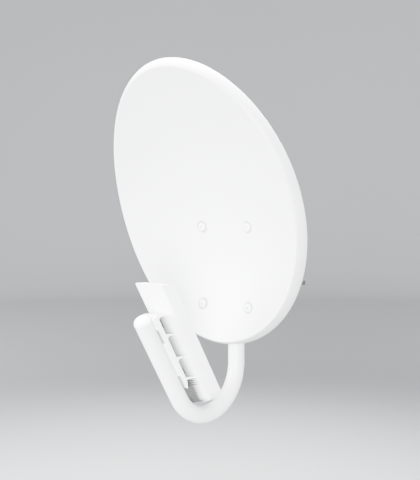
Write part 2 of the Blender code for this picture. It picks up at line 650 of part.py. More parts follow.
def make_tilt_bolts():
    outside = CHEEK_OUTSIDE + GAP + MAST_CHEEK
    head, head_half = 0.0053, 0.0065
    washer = 0.0016
    seat = outside + GAP
    for label, height, ends in (("pivot", PIVOT_Z, PIVOT_END), ("lock", PIVOT_Z + LOCK_RISE, LOCK_END)):
        bolt = bmesh.new()
        place = Vector((0, PIVOT_Y, height))
        left = -(seat + washer + GAP)
        add_rod(bolt, place, (1, 0, 0), head_half / cos(pi / 6), left - head, left, 6)
        made = add_object(f"{label}_bolt", bolt, ZINC)
        shank = bmesh.new()
        add_rod(shank, place, (1, 0, 0), 0.004, left - head / 2, ends - 0.0008, 16)
        add_rod(shank, place, (1, 0, 0), 0.004, ends - 0.0008, ends, 16, 0.0032)
        bmesh.ops.remove_doubles(shank, verts=shank.verts, dist=1e-6)
        inner = [f for f in shank.faces if abs(f.calc_center_median().x - (ends - 0.0008)) < 1e-5
                 and abs(f.normal.x) > 0.9]
        bmesh.ops.delete(shank, geom=inner, context="FACES_ONLY")
        boolean(made, add_cutter(f"{label}_shank", shank), "UNION")
        for side, name in ((-1, "left"), (1, "right")):
            ring = bmesh.new()
            low, high = sorted((side * seat, side * (seat + washer)))
            add_rod(ring, place, (1, 0, 0), 0.0080, low, high, 20)
            disc = add_object(f"{label}_washer_{name}", ring, ZINC)
            hole = bmesh.new()
            add_rod(hole, place, (1, 0, 0), 0.004 + GAP, low - 0.002, high + 0.002, 16)
            boolean(disc, add_cutter(f"{label}_washer_hole_{name}", hole))
        nut_place = place + Vector((seat + washer + GAP, 0, 0))
        make_nut(f"{label}_nut", nut_place, (1, 0, 0), head_half, 0.0065, 0.004)


clear_scene()
make_dish()
make_dish_bolts()
make_arm()
make_housing()
make_port_cover()
make_cradle()
make_dish_bracket()
make_straps()
make_mast_bracket()
make_tilt_bolts()
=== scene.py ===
from math import acos, atan2, cos, hypot, pi, radians, sin, sqrt, tan

import bmesh
import bpy
from mathutils import Matrix, Vector


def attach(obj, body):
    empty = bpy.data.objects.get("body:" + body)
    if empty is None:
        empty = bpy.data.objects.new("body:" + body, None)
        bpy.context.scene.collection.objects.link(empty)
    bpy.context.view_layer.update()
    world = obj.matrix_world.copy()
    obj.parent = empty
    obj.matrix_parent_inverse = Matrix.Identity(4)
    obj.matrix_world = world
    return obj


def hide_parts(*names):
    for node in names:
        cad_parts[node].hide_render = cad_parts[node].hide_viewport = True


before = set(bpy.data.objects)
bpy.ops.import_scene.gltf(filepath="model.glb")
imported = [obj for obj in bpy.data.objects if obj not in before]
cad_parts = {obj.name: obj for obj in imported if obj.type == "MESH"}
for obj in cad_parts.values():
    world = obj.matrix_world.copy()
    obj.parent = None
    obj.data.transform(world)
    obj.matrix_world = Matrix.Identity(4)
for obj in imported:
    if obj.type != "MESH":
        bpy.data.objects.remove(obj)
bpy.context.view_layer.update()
print("frame loaded:", len(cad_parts), "nodes")

# Metres, +Z up. The dish looks towards -Y and the mast bracket's rear face is at y = 0.

gap = 0.0003  # clearance that the solids keep between neighbours
past = 0.002  # how far a cutter reaches past what it cuts
touch = 1e-6  # points nearer than this are one point
nearlyFlat = radians(0.2)  # faces that meet at less become one
acrossAxis = Vector((1, 0, 0))
backAxis = Vector((0, 1, 0))
upAxis = Vector((0, 0, 1))
atOrigin = Matrix.Identity(4)


# Small tools that the pieces share

def newObject(name, bm, material=None, sharpAngle=30):
    mesh = bpy.data.meshes.new(name)
    bm.to_mesh(mesh)
    bm.free()
    mesh.shade_smooth()
    mesh.set_sharp_from_angle(angle=radians(sharpAngle))
    if material:
        mesh.materials.append(material)
    made = bpy.data.objects.new(name, mesh)
    bpy.context.scene.collection.objects.link(made)
    return made


def addPiece(name, bm, finish, nodes=(), sharpAngle=30, flatFaces=True):
    # A finished piece that stands for the named nodes, with flat faces lit evenly up to their round edges
    piece = newObject(name, bm, finishes[finish], sharpAngle)
    if flatFaces:
        even = piece.modifiers.new("flat faces", "WEIGHTED_NORMAL")
        even.keep_sharp = True
    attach(piece, "root")
    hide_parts(*nodes)
    return piece


def combine(base, tool, operation):
    # Joins or cuts two closed shapes and gives back one
    pair = [newObject("working", bm) for bm in (base, tool)]
    step = pair[0].modifiers.new("combine", "BOOLEAN")
    step.operation = operation
    step.solver = "EXACT"
    step.object = pair[1]
    bpy.context.view_layer.update()
    result = bmesh.new()
    result.from_object(pair[0], bpy.context.evaluated_depsgraph_get())
    for used in pair:
        mesh = used.data
        bpy.data.objects.remove(used)
        bpy.data.meshes.remove(mesh)
    bmesh.ops.dissolve_limit(result, angle_limit=nearlyFlat, verts=result.verts, edges=result.edges)
    return result


def merged(*parts):
    # Several closed shapes in one mesh
    whole = parts[0]
    for part in parts[1:]:
        mesh = bpy.data.meshes.new("passing")
        part.to_mesh(mesh)
        part.free()
        whole.from_mesh(mesh)
        bpy.data.meshes.remove(mesh)
    return whole


def moved(bm, matrix):
    bmesh.ops.transform(bm, matrix=matrix, verts=bm.verts)
    return bm


def onlyVerts(geometry):
    return [v for v in geometry if isinstance(v, bmesh.types.BMVert)]


def onlyEdges(geometry):
    return [e for e in geometry if isinstance(e, bmesh.types.BMEdge)]


def edgesAt(bm, corner):
    # The edges that stand at one corner of a side view
    return [e for e in bm.edges if all((v.co.yz - Vector(corner)).length < touch for v in e.verts)]


def roundEdges(bm, edges, width, segments, widthKind="OFFSET", clamp=True):
    bmesh.ops.bevel(bm, geom=edges, offset=width, offset_type=widthKind, segments=segments, profile=0.5,
                    affect="EDGES", clamp_overlap=clamp, material=-1)


def soften(bm, width, angle=35, segments=2):
    # Rounds every edge that is sharper than the angle
    roundEdges(bm, [e for e in bm.edges if e.calc_face_angle(0) > radians(angle)], width, segments)
    return bm


def arc(centre, radius, start, end, steps):
    turns = [start + (end - start) * i / steps for i in range(steps + 1)]
    return [(centre[0] + radius * cos(turn), centre[1] + radius * sin(turn)) for turn in turns]


def dome(radius, rise, base, steps):
    # Quarter oval from the axis out to the rim, as (radius, height) points
    turns = [pi / 2 * i / steps for i in range(steps + 1)]
    return [(radius * sin(turn), base + rise * cos(turn)) for turn in turns]


def extruded(corners, direction):
    bm = bmesh.new()
    face = bm.faces.new([bm.verts.new(corner) for corner in corners])
    grown = bmesh.ops.extrude_face_region(bm, geom=[face])["geom"]
    bmesh.ops.translate(bm, verts=onlyVerts(grown), vec=direction)
    bmesh.ops.recalc_face_normals(bm, faces=bm.faces)
    return bm


def block(low, high):
    bm = bmesh.new()
    size = [b - a for a, b in zip(low, high)]
    middle = [(a + b) / 2 for a, b in zip(low, high)]
    bmesh.ops.create_cube(bm, size=1.0, matrix=Matrix.Translation(middle) @ Matrix.Diagonal((*size, 1.0)))
    return bm


def facing(point, axis):
    # Places a shape made along +Z at a point, along an axis
    return Matrix.Translation(point) @ Vector(axis).to_track_quat("Z", "Y").to_matrix().to_4x4()


def turned(profile, place, sides=48, closed=False):
    # Spins (radius, height) points about the height axis: a line that starts on it, or a closed
    # outline that stays off it
    bm = bmesh.new()
    points = [bm.verts.new((radius, 0.0, height)) for radius, height in profile]
    following = points[1:] + points[:1] if closed else points[1:]
    edges = [bm.edges.new(pair) for pair in zip(points, following)]
    bmesh.ops.spin(bm, geom=points + edges, cent=(0, 0, 0), axis=upAxis, angle=2 * pi, steps=sides,
                   use_merge=True)
    bmesh.ops.remove_doubles(bm, verts=bm.verts, dist=touch)
    bmesh.ops.recalc_face_normals(bm, faces=bm.faces)
    return moved(bm, place)


def rod(radius, low, high, place, sides=32):
    return turned([(0, high), (radius, high), (radius, low), (0, low)], place, sides)


def drilled(bm, radius, low, high, place):
    return combine(bm, rod(radius, low, high, place), "DIFFERENCE")


# Shader node groups that several finishes use

def newGroup(name, inputs, outputs):
    group = bpy.data.node_groups.new(name, "ShaderNodeTree")
    for label, kind, value in inputs:
        socket = group.interface.new_socket(name=label, in_out="INPUT", socket_type=kind)
        if value is not None:
            socket.default_value = value
    for label, kind in outputs:
        group.interface.new_socket(name=label, in_out="OUTPUT", socket_type=kind)
    start = group.nodes.new("NodeGroupInput")
    end = group.nodes.new("NodeGroupOutput")
    return group, start, end


def addNode(tree, kind, settings=None, values=None):
    node = tree.nodes.new(kind)
    for key, value in (settings or {}).items():
        setattr(node, key, value)
    for key, value in (values or {}).items():
        node.inputs[key].default_value = value
    return node


def makePeelGroup():
    # Fine orange peel of a sprayed or moulded skin, as a height
    group, start, end = newGroup("skinPeel", [("Vector", "NodeSocketVector", None),
                                              ("Coarse", "NodeSocketFloat", 500.0),
                                              ("Fine", "NodeSocketFloat", 2500.0)],
                                 [("Height", "NodeSocketFloat")])
    coarse = addNode(group, "ShaderNodeTexNoise", values={"Detail": 2.0, "Roughness": 0.45})
    fine = addNode(group, "ShaderNodeTexNoise", values={"Detail": 3.0, "Roughness": 0.6})
    blend = addNode(group, "ShaderNodeMath", {"operation": "MULTIPLY_ADD"}, {1: 0.35})
    link = group.links.new
    for noise, label in ((coarse, "Coarse"), (fine, "Fine")):
        link(start.outputs["Vector"], noise.inputs["Vector"])
        link(start.outputs[label], noise.inputs["Scale"])
    link(fine.outputs["Fac"], blend.inputs[0])
    link(coarse.outputs["Fac"], blend.inputs[2])
    link(blend.outputs[0], end.inputs["Height"])
    return group


def makeToneGroup():
    # Slow change of tone over a surface, and a little dust on what faces up
    group, start, end = newGroup("slowTone", [("Vector", "NodeSocketVector", None),
                                              ("Clean", "NodeSocketColor", (1, 1, 1, 1)),
                                              ("Worn", "NodeSocketColor", (0.9, 0.9, 0.9, 1)),
                                              ("Dust", "NodeSocketColor", (0.7, 0.68, 0.64, 1)),
                                              ("Dust Amount", "NodeSocketFloat", 0.1),
                                              ("Scale", "NodeSocketFloat", 14.0)],
                                 [("Color", "NodeSocketColor"), ("Mask", "NodeSocketFloat")])
    slow = addNode(group, "ShaderNodeTexNoise", values={"Detail": 4.0, "Roughness": 0.55})
    speck = addNode(group, "ShaderNodeTexNoise", values={"Scale": 160.0, "Detail": 3.0})
    spread = addNode(group, "ShaderNodeMapRange", values={"From Min": 0.35, "From Max": 0.7})
    mixTone = addNode(group, "ShaderNodeMix", {"data_type": "RGBA"})
    shape = addNode(group, "ShaderNodeNewGeometry")
    split = addNode(group, "ShaderNodeSeparateXYZ")
    upward = addNode(group, "ShaderNodeMapRange", values={"From Min": 0.55, "From Max": 1.0})
    settle = addNode(group, "ShaderNodeMath", {"operation": "MULTIPLY"})
    amount = addNode(group, "ShaderNodeMath", {"operation": "MULTIPLY"})
    mixDust = addNode(group, "ShaderNodeMix", {"data_type": "RGBA"})
    link = group.links.new
    link(start.outputs["Vector"], slow.inputs["Vector"])
    link(start.outputs["Scale"], slow.inputs["Scale"])
    link(start.outputs["Vector"], speck.inputs["Vector"])
    link(slow.outputs["Fac"], spread.inputs["Value"])
    link(spread.outputs["Result"], mixTone.inputs["Factor"])
    link(start.outputs["Clean"], mixTone.inputs["A"])
    link(start.outputs["Worn"], mixTone.inputs["B"])
    link(shape.outputs["Normal"], split.inputs["Vector"])
    link(split.outputs["Z"], upward.inputs["Value"])
    link(upward.outputs["Result"], settle.inputs[0])
    link(speck.outputs["Fac"], settle.inputs[1])
    link(settle.outputs[0], amount.inputs[0])
    link(start.outputs["Dust Amount"], amount.inputs[1])
    link(amount.outputs[0], mixDust.inputs["Factor"])
    link(mixTone.outputs["Result"], mixDust.inputs["A"])
    link(start.outputs["Dust"], mixDust.inputs["B"])
    link(mixDust.outputs["Result"], end.inputs["Color"])
    link(spread.outputs["Result"], end.inputs["Mask"])
    return group


peelGroup = makePeelGroup()
toneGroup = makeToneGroup()


def makeFinish(name, look):
    # A finish from its settings: tone, sheen range, peel, metal and how dark its painted shade in hollows
    # gets at the fullest
    material = bpy.data.materials.new(name)
    material.use_nodes = True
    tree = material.node_tree
    shader = tree.nodes["Principled BSDF"]
    shader.inputs["Metallic"].default_value = look.get("metallic", 0.0)
    shader.inputs["IOR"].default_value = look.get("ior", 1.5)
    shader.inputs["Coat Weight"].default_value = look.get("coat", 0.0)
    shader.inputs["Coat Roughness"].default_value = look.get("coatRoughness", 0.2)
    place = addNode(tree, "ShaderNodeTexCoord")
    # the shade attribute holds painted shade, which darkens the base colour by the finish's painted shade
    # tone
    hollow = addNode(tree, "ShaderNodeAttribute", {"attribute_name": "shade"})
    darken = addNode(tree, "ShaderNodeMath", {"operation": "MULTIPLY"}, {1: look.get("paintedShadeTone", 0.0)})
    paintShade = addNode(tree, "ShaderNodeMix", {"data_type": "RGBA", "blend_type": "MULTIPLY"},
                     {"B": (0.0, 0.0, 0.0, 1.0)})
    tone = addNode(tree, "ShaderNodeGroup", {"node_tree": toneGroup},
                   {"Clean": (*look["clean"], 1), "Worn": (*look["worn"], 1),
                    "Dust Amount": look["dust"], "Scale": look["toneScale"]})
    sheen = addNode(tree, "ShaderNodeMapRange",
                    values={"To Min": look["roughness"][0], "To Max": look["roughness"][1]})
    peel = addNode(tree, "ShaderNodeGroup", {"node_tree": peelGroup},
                   {"Coarse": look["coarse"], "Fine": look["fine"]})
    bump = addNode(tree, "ShaderNodeBump", values={"Strength": look["bump"], "Distance": look["depth"]})
    link = tree.links.new
    link(place.outputs["Object"], tone.inputs["Vector"])
    link(place.outputs["Object"], peel.inputs["Vector"])
    link(hollow.outputs["Fac"], darken.inputs[0])
    link(darken.outputs[0], paintShade.inputs["Factor"])
    link(tone.outputs["Color"], paintShade.inputs["A"])
    link(paintShade.outputs["Result"], shader.inputs["Base Color"])
    link(tone.outputs["Mask"], sheen.inputs["Value"])
    link(sheen.outputs["Result"], shader.inputs["Roughness"])
    link(peel.outputs["Height"], bump.inputs["Height"])
    link(bump.outputs["Normal"], shader.inputs["Normal"])
    return material


whitePaint = {"clean": (0.705, 0.715, 0.725), "worn": (0.685, 0.695, 0.70), "dust": 0.05, "toneScale": 9.0,
              "roughness": (0.36, 0.44), "coarse": 420.0, "fine": 1800.0, "bump": 0.25, "depth": 0.0002,
              "coat": 0.15, "coatRoughness": 0.3, "paintedShadeTone": 0.8}
# the white paint made darker for the arm, a copy that paints in the arm's shade
shadedWhitePaint = {"clean": (0.645, 0.655, 0.665), "worn": (0.62, 0.63, 0.635), "dust": 0.05, "toneScale": 22.0,
            "roughness": (0.34, 0.44), "coarse": 520.0, "fine": 2100.0, "bump": 0.28, "depth": 0.0002,
            "coat": 0.15, "coatRoughness": 0.3}
whitePlastic = {"clean": (0.86, 0.87, 0.88), "worn": (0.845, 0.855, 0.86), "dust": 0.05, "toneScale": 16.0,
                "roughness": (0.38, 0.46), "coarse": 1400.0, "fine": 5200.0, "bump": 0.22, "depth": 0.0001,
                "paintedShadeTone": 0.82}
blackRubber = {"clean": (0.035, 0.035, 0.036), "worn": (0.06, 0.06, 0.06), "dust": 0.25, "toneScale": 40.0,
               "roughness": (0.6, 0.8), "coarse": 900.0, "fine": 3000.0, "bump": 0.4, "depth": 0.0002}
zincSteel = {"clean": (0.50, 0.52, 0.55), "worn": (0.40, 0.41, 0.43), "dust": 0.12, "toneScale": 180.0,
             "roughness": (0.28, 0.48), "coarse": 700.0, "fine": 2600.0, "bump": 0.3, "depth": 0.0001,
             "metallic": 1.0, "paintedShadeTone": 0.75}
finishes = {"white_paint": makeFinish("whitePaint", whitePaint),
            "shaded_white_paint": makeFinish("shadedWhitePaint", shadedWhitePaint),
            "white_plastic": makeFinish("whitePlastic", whitePlastic),
            "black_rubber": makeFinish("blackRubber", blackRubber),
            "zinc_steel": makeFinish("zincSteel", zincSteel)}
print("finishes made:", ", ".join(finishes))


# The dish: a bowl with a level axis, cut by a leaning oval, whose edge rolls back

dish = {"height": 0.400, "width": 0.322, "lean": radians(18.3), "focalLength": 0.130,
        "centre": Vector((0, -0.185, 0.040)), "topNarrowing": 0.037,
        "lipWidth": 0.0089, "lipDepth": 0.0122, "lipFlatness": 1.5, "hem": 0.0016, "sheet": 0.0012,
        "rings": 72, "sectors": 240, "lipSteps": 12, "hemSteps": 6, "discWeld": 1e-4,
        "seatRadius": 0.0078, "seatEdge": 0.0016, "seatMargin": 0.002, "seatCuts": 4,
        "paintedRingWidth": 0.0016, "paintedUndersideShade": 0.65}
bolts = {"across": 0.0867, "up": 0.1148, "centre": -0.041, "radius": 0.003, "pitch": 0.001, "reach": 0.009,
         "headRadius": 0.0066, "headHeight": 0.0022, "rim": 0.0006, "underRim": 0.0002,
         "socketRadius": 0.0022, "socketDepth": 0.0008, "paintedSocketShade": (0.2, 0.5),
         "cushionStart": 0.0014, "cushionRound": 0.0008, "nutFlats": 0.010, "nutHeight": 0.0048}

curve = 1 / (4 * dish["focalLength"])
lowestZ = -tan(dish["lean"]) / (2 * curve)  # of the bowl, from the oval's centre
lowestY = (curve * (dish["height"] / 2 * cos(dish["lean"]) - lowestZ) ** 2
           - dish["height"] / 2 * sin(dish["lean"]))


def bowlY(x, z):
    return dish["centre"].y + lowestY - curve * (x * x + (z - dish["centre"].z - lowestZ) ** 2)


def bowlDepth(x, rise):
    # How far the bowl lies behind the leaning face, where the quadratic of its section is zero
    lean = dish["lean"]
    level = rise * cos(lean) - lowestZ
    a = curve * sin(lean) ** 2
    b = cos(lean) + 2 * curve * sin(lean) * level
    c = curve * (x * x + level * level) - rise * sin(lean) - lowestY
    return (sqrt(b * b - 4 * a * c) - b) / (2 * a)


def facePoint(x, rise, back):
    lean = dish["lean"]
    return dish["centre"] + Vector((x, back * cos(lean) - rise * sin(lean),
                                    rise * cos(lean) + back * sin(lean)))


def ovalPoint(angle, share, grow):
    x = (dish["width"] / 2 * share + grow) * cos(angle) * (1 - dish["topNarrowing"] * sin(angle))
    return x, (dish["height"] / 2 * share + grow) * sin(angle)


def boltPlaces():
    places = []
    for side in (-1, 1):
        for level in (1, -1):
            x = side * bolts["across"] / 2
            z = bolts["centre"] + level * bolts["up"] / 2
            places.append(Vector((x, bowlY(x, z), z)))
    return places


def edgeShift(step):
    # Outward and backward shift of the rolled edge and its hem, by step past the bowl's edge
    if step <= dish["lipSteps"]:
        turn = pi / 2 * step / dish["lipSteps"]
        flat = dish["lipFlatness"]
        return dish["lipWidth"] * sin(turn) ** flat, dish["lipDepth"] * (1 - cos(turn) ** flat)
    turn = pi * (step - dish["lipSteps"]) / dish["hemSteps"]
    hem = dish["hem"]
    return dish["lipWidth"] - hem + hem * cos(turn), dish["lipDepth"] + hem * sin(turn)


def makeDish():
    # Starts as a flat disc whose rings are one unit apart, so a point's distance is its step
    rings = dish["rings"]
    steps = rings + dish["lipSteps"] + dish["hemSteps"]
    bm = bmesh.new()
    points = [bm.verts.new((i, 0, 0)) for i in range(steps + 1)]
    edges = [bm.edges.new(pair) for pair in zip(points, points[1:])]
    bmesh.ops.spin(bm, geom=points + edges, cent=(0, 0, 0), axis=upAxis, angle=2 * pi,
                   steps=dish["sectors"], use_merge=True)
    bmesh.ops.remove_doubles(bm, verts=bm.verts, dist=dish["discWeld"])
    layer = bm.verts.layers.float.new("shade")
    for vert in bm.verts:  # to the bowl and its rolled edge, which gets painted shade where it faces down
        step = round(hypot(vert.co.x, vert.co.y))
        angle = atan2(vert.co.y, vert.co.x)
        x, rise = ovalPoint(angle, min(step, rings) / rings, 0.0)
        back = bowlDepth(x, rise)
        if step > rings:
            grow, extra = edgeShift(step - rings)
            x, rise = ovalPoint(angle, 1.0, grow)
            back += extra
            vert[layer] = dish["paintedUndersideShade"] * max(0.0, -sin(angle))
        vert.co = facePoint(x, rise, back)
    seats = boltPlaces()
    reach = dish["seatRadius"] + dish["seatEdge"] + dish["seatMargin"]
    near = [e for e in bm.edges
            if min(((e.verts[0].co + e.verts[1].co) / 2 - seat).xz.length for seat in seats) < reach]
    bmesh.ops.subdivide_edges(bm, edges=near, cuts=dish["seatCuts"], use_grid_fill=True)
    for vert in bm.verts:  # a flat seat is pressed in under each bolt, with a ring of painted shade round the head
        for seat in seats:
            away = (vert.co - seat).xz.length
            if away < reach:
                surface = bowlY(vert.co.x, vert.co.z)
                share = min(max((away - dish["seatRadius"]) / dish["seatEdge"], 0), 1)
                vert.co.y = seat.y + (surface - seat.y) * share * share * (3 - 2 * share)
                ring = abs(away - bolts["headRadius"] - dish["paintedRingWidth"] / 2) / dish["paintedRingWidth"]
                vert[layer] = max(0.0, 1.0 - ring)
    bmesh.ops.recalc_face_normals(bm, faces=bm.faces)
    if sum(face.normal.y * face.calc_area() for face in bm.faces) > 0:
        bmesh.ops.reverse_faces(bm, faces=bm.faces)
    piece = addPiece("dish_skin", bm, "white_paint", ["dish_reflector"], sharpAngle=60, flatFaces=False)
    skin = piece.modifiers.new("sheet", "SOLIDIFY")
    skin.thickness = dish["sheet"]
    skin.offset = -1


def socketHead(place):
    # Domed head with a six-sided socket, with painted shade in the socket that is darkest at its floor
    radius, height, rim, under = (bolts[key] for key in ("headRadius", "headHeight", "rim", "underRim"))
    outline = dome(radius, height - rim, rim, 8) + [(radius, under), (radius - under, 0), (0, 0)]
    socket = bmesh.new()
    bmesh.ops.create_cone(socket, cap_ends=True, segments=6, radius1=bolts["socketRadius"],
                          radius2=bolts["socketRadius"], depth=2 * bolts["socketDepth"],
                          matrix=Matrix.Translation((0, 0, height)))
    head = combine(turned(outline, atOrigin), socket, "DIFFERENCE")
    layer = head.verts.layers.float.new("shade")
    topShade, floorShade = bolts["paintedSocketShade"]
    for vert in head.verts:
        if vert.co.xy.length < bolts["socketRadius"] + touch:
            vert[layer] = topShade if vert.co.z > height - bolts["socketDepth"] / 2 else floorShade
    return moved(head, facing(place, -backAxis))


# Threads and hexagons, which the bolts of every size share

thread = {"depth": 0.5, "ridge": (0.1, 0.5, 0.9), "sides": 28,  # depth and ridge in pitches
          "paintedValleyShade": 1.0, "paintedRidgeShade": 0.35}
hexagon = {"chamfer": 0.9, "flat": 0.94, "clear": 0.0002}  # chamfer and flat as shares


def threaded(radius, pitch, low, high, place):
    # Bolt shank whose thread shows as a row of ridges, with painted shade over it that is darkest in the
    # valleys
    core = radius - pitch * thread["depth"]
    profile = [(0, low), (core, low)]
    for i in range(int((high - low - pitch) / pitch)):
        rise, crest, fall = (low + pitch * (i + share) for share in thread["ridge"])
        profile += [(core, rise), (radius, crest), (core, fall)]
    profile += [(core, high), (0, high)]
    bm = turned(profile, atOrigin, thread["sides"])
    layer = bm.verts.layers.float.new("shade")
    for vert in bm.verts:
        valley = vert.co.xy.length < (core + radius) / 2
        vert[layer] = thread["paintedValleyShade"] if valley else thread["paintedRidgeShade"]
    return moved(bm, place)


def hexShape(acrossFlats, height, place):
    # Six-sided head or nut with the turned chamfer on its corners
    corner = acrossFlats / 2 / cos(pi / 6)
    drop = (corner - acrossFlats / 2) * hexagon["chamfer"]
    flat = acrossFlats / 2 * hexagon["flat"]
    wide = corner + hexagon["clear"]
    body = bmesh.new()
    bmesh.ops.create_cone(body, cap_ends=True, segments=6, radius1=corner, radius2=corner, depth=height,
                          matrix=Matrix.Translation((0, 0, height / 2)))
    limit = turned([(0, height), (flat, height), (wide, height - drop), (wide, drop), (flat, 0), (0, 0)],
                   atOrigin)
    return moved(combine(body, limit, "INTERSECT"), place)


def makeNut(name, acrossFlats, height, bore, place, nodes):
    nut = drilled(hexShape(acrossFlats, height, atOrigin), bore, -past, height + past, atOrigin)
    addPiece(name, moved(nut, place), "zinc_steel", nodes)


def makeDishBolts():
    flangeBack = bracket["flangeY"] + bracket["steel"] + gap
    radius, bore, rounding = dish["seatRadius"], bolts["radius"] + gap, bolts["cushionRound"]
    for number, place in enumerate(boltPlaces(), start=1):
        axisPlace = facing((place.x, 0, place.z), backAxis)
        seat = place.y - gap
        addPiece(f"dish_bolt_head_{number}", socketHead((place.x, seat, place.z)), "white_paint",
                 [f"dish_bolt_{number}"])
        shank = threaded(bolts["radius"], bolts["pitch"], seat, flangeBack + bolts["reach"], axisPlace)
        addPiece(f"dish_bolt_thread_{number}", shank, "zinc_steel")
        low, high = place.y + bolts["cushionStart"], bracket["flangeY"] - gap
        outline = ([(bore, low), (radius - rounding, low)]
                   + arc((radius - rounding, low + rounding), rounding, -pi / 2, 0, 4)[1:]
                   + arc((radius - rounding, high - rounding), rounding, 0, pi / 2, 4) + [(bore, high)])
        addPiece(f"dish_cushion_{number}", turned(outline, axisPlace, closed=True), "black_rubber",
                 [f"dish_spacer_{number}"])
        makeNut(f"dish_hex_nut_{number}", bolts["nutFlats"], bolts["nutHeight"], bolts["radius"],
                facing((place.x, flangeBack, place.z), backAxis), [f"dish_nut_{number}"])


# The arm: upright leg, bend and leaning front leg

arm = {"radius": 0.0120, "y": -0.0846, "top": 0.034, "bendRadius": 0.0666, "bendZ": -0.1838,
       "lean": radians(31.3), "frontLeg": 0.1290, "sides": 64, "bendSteps": 64, "capHeight": 0.0095,
       "plugHeight": 0.003, "plugRound": 0.0012, "plugDip": [(0, 0.0022), (0.006, 0.0024)]}

sweep = pi - arm["lean"]
legStart = Vector((0, arm["y"] - arm["bendRadius"] * (1 - cos(sweep)),
                   arm["bendZ"] - arm["bendRadius"] * sin(sweep)))
upLeg = Vector((0, -sin(arm["lean"]), cos(arm["lean"])))
behindLeg = Vector((0, cos(arm["lean"]), sin(arm["lean"])))
legFrame = Matrix.Translation(legStart) @ Matrix((
    (1, 0, 0, 0), (0, behindLeg.y, upLeg.y, 0), (0, behindLeg.z, upLeg.z, 0), (0, 0, 0, 1)))


def makeArm():
    bm = bmesh.new()
    bmesh.ops.create_circle(bm, segments=arm["sides"], radius=arm["radius"],
                            matrix=Matrix.Translation((0, arm["y"], arm["top"])))

    def carryOn(last, shift):
        grown = bmesh.ops.extrude_edge_only(bm, edges=last)["geom"]
        bmesh.ops.translate(bm, verts=onlyVerts(grown), vec=shift)
        return onlyEdges(grown)

    edges = carryOn(bm.edges[:], (0, 0, arm["bendZ"] - arm["top"]))
    bend = bmesh.ops.spin(bm, geom=edges, cent=(0, arm["y"] - arm["bendRadius"], arm["bendZ"]),
                          axis=acrossAxis, angle=-sweep, steps=arm["bendSteps"], use_merge=False)
    carryOn(onlyEdges(bend["geom_last"]), upLeg * arm["frontLeg"])
    openEdges = [e for e in bm.edges if e.is_boundary]
    bmesh.ops.holes_fill(bm, edges=openEdges, sides=0)
    bmesh.ops.remove_doubles(bm, verts=bm.verts, dist=touch)
    bmesh.ops.recalc_face_normals(bm, faces=bm.faces)
    addPiece("arm_pipe", bm, "shaded_white_paint", ["arm_tube"])

    radius, height, rounding = arm["radius"], arm["plugHeight"], arm["plugRound"]
    front = facing(legStart + upLeg * (arm["frontLeg"] + gap), upLeg)
    cap = dome(radius, arm["capHeight"], 0, 16) + [(0, 0)]
    addPiece("arm_front_cap", turned(cap, front, arm["sides"]), "white_plastic", ["arm_tip_cap"])
    plug = (arm["plugDip"] + [(radius - rounding, height)]
            + arc((radius - rounding, height - rounding), rounding, pi / 2, 0, 5)[1:]
            + [(radius, 0), (0, 0)])
    top = facing((0, arm["y"], arm["top"] + gap), upAxis)
    addPiece("arm_end_plug", turned(plug, top, arm["sides"]), "black_rubber", ["arm_top_plug"])


# The feed on the front leg, in places across the leg (x), behind its axis (r) and along it (s)

slab = {"width": 0.050, "back": 0.0346, "front": 0.0533, "seam": 0.0465, "top": -0.0577, "bottom": -0.2304,
        "topRound": 0.008, "bottomRound": 0.012, "sideRound": 0.0046, "seamRound": 0.0004,
        "end": 0.026, "endDrop": 0.0004, "clear": 0.005, "under": 0.01, "cutStart": -0.22, "cutDepth": 0.10}
neck = {"waist": 0.0128, "root": 0.0150, "start": 0.0163, "low": -0.1912, "high": -0.0982, "round": 0.004,
        "sink": 0.004, "web": 0.0035, "ribs": [-0.1900, -0.1595, -0.1265], "ribHalf": 0.0010,
        "shadeDepth": 0.0070, "shadePower": 1.5, "shadeMost": 1.15}
pocket = {"top": -0.1006, "lowRound": 0.0015, "highRound": 0.008, "backLeft": 0.00002, "frontPast": 0.0001,
          "heightPast": 0.02, "clear": 0.006, "inner": 0.0005, "outer": 0.001}
# black rubber bars, a dark piece that stands in for the deep shade beside the cradle, and the holes they
# sit in
darkBar = {"spans": ((-0.1178, -0.1040), (-0.1856, -0.1757)), "start": 0.0150, "end": 0.0252,
         "holeHalf": 0.0075, "half": 0.0026}
endZ = slab["bottom"] - slab["endDrop"] + slab["end"]  # centre of the slab's round lower end


def levelS(height, r):
    return (height - legStart.z - r * behindLeg.z) / upLeg.z


def levelPrism(section, low, high):
    # A section in (x, r) that runs along the leg between two level ends
    return extruded([(x, r, levelS(low, r)) for x, r in section], (0, 0, (high - low) / upLeg.z))


def makeSlab():
    # The whole slab with its rounded corners, before it is parted at the seam
    half = slab["width"] / 2
    back, front, top, bottom = (slab[key] for key in ("back", "front", "top", "bottom"))
    corners = [(back, levelS(top, back)), (front, levelS(top, front)),
               (front, levelS(bottom, front)), (back, levelS(bottom, back))]
    bm = extruded([(-half, r, s) for r, s in corners], (2 * half, 0, 0))
    for corner, radius in ((corners[1], slab["topRound"]), (corners[2], slab["bottomRound"])):
        edge = edgesAt(bm, corner)
        inside = pi - edge[0].calc_face_angle()
        roundEdges(bm, edge, radius / tan(inside / 2), 14, "ABSOLUTE", clamp=False)
    clear, under = half + slab["clear"], bottom - slab["under"]
    lowerEnd = arc((0, endZ), slab["end"], -pi, 0, 48)
    lowerEnd += [(clear, endZ), (clear, under), (-clear, under), (-clear, endZ)]
    around = extruded([(x, slab["cutStart"], z) for x, z in lowerEnd], (0, slab["cutDepth"], 0))
    bm = combine(bm, moved(around, legFrame.inverted()), "DIFFERENCE")
    return soften(bm, slab["sideRound"], segments=6)


